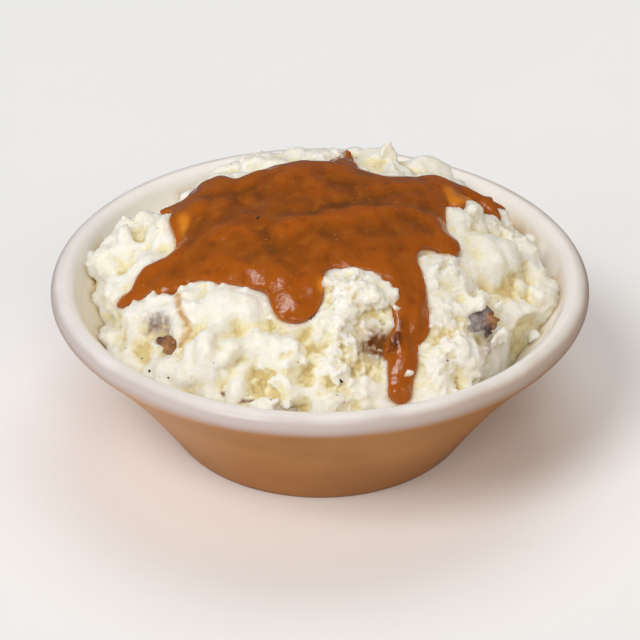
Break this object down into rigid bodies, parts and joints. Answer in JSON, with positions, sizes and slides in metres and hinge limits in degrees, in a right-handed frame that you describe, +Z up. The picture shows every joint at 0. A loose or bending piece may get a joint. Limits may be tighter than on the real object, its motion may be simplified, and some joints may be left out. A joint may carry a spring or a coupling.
{
  "type": "mashed potato side",
  "caption": "Round side bowl heaped with lumpy mashed potato, brown gravy poured over the top, with flakes of potato skin.",
  "frame": {"origin": "centre of the bowl's foot ring, on the plane that it stands on", "axes": "+Z up out of the bowl, -Y towards the side where the gravy runs down furthest, +X to the right seen from there"},
  "size_m": [0.152, 0.152, 0.075],
  "materials": {
    "bowl": "gloss glaze, white inside and terracotta outside",
    "mash": "moist, soft",
    "gravy": "wet gloss",
    "skin_left": "moist, rough",
    "skin_right": "moist, rough",
    "skin_front": "moist, rough"
  },
  "bodies": {
    "root": {"bowl": "bowl", "mash": "mash", "gravy": "gravy", "skin_left": "skin_left", "skin_right": "skin_right", "skin_front": "skin_front"}
  },
  "joints": []
}
